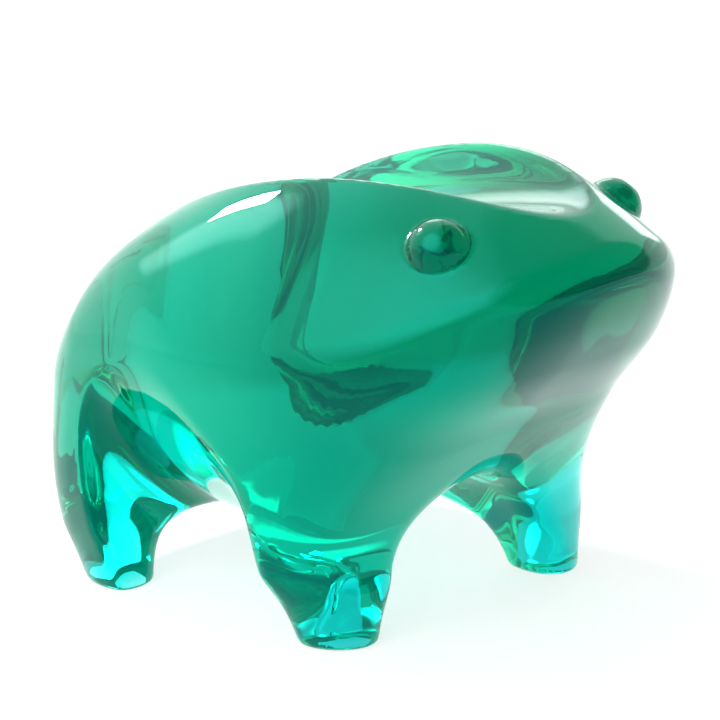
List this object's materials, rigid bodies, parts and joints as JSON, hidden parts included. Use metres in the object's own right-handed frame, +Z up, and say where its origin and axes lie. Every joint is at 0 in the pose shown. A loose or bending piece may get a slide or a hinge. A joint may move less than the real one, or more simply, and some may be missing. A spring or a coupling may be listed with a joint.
{
  "type": "frog sculpture",
  "caption": "Solid clear green frog standing on four short legs, with a leaf-shaped hollow along its back and two bead eyes",
  "frame": {"origin": "on the ground, under the middle of the frog's length and width", "axes": "+Z up; -Y the way the frog faces; +X its left side"},
  "size_m": [0.2184, 0.2811, 0.1989],
  "materials": {
    "resin": "polished clear cast resin, tinted green"
  },
  "bodies": {
    "root": {"frog": "resin"}
  },
  "joints": []
}
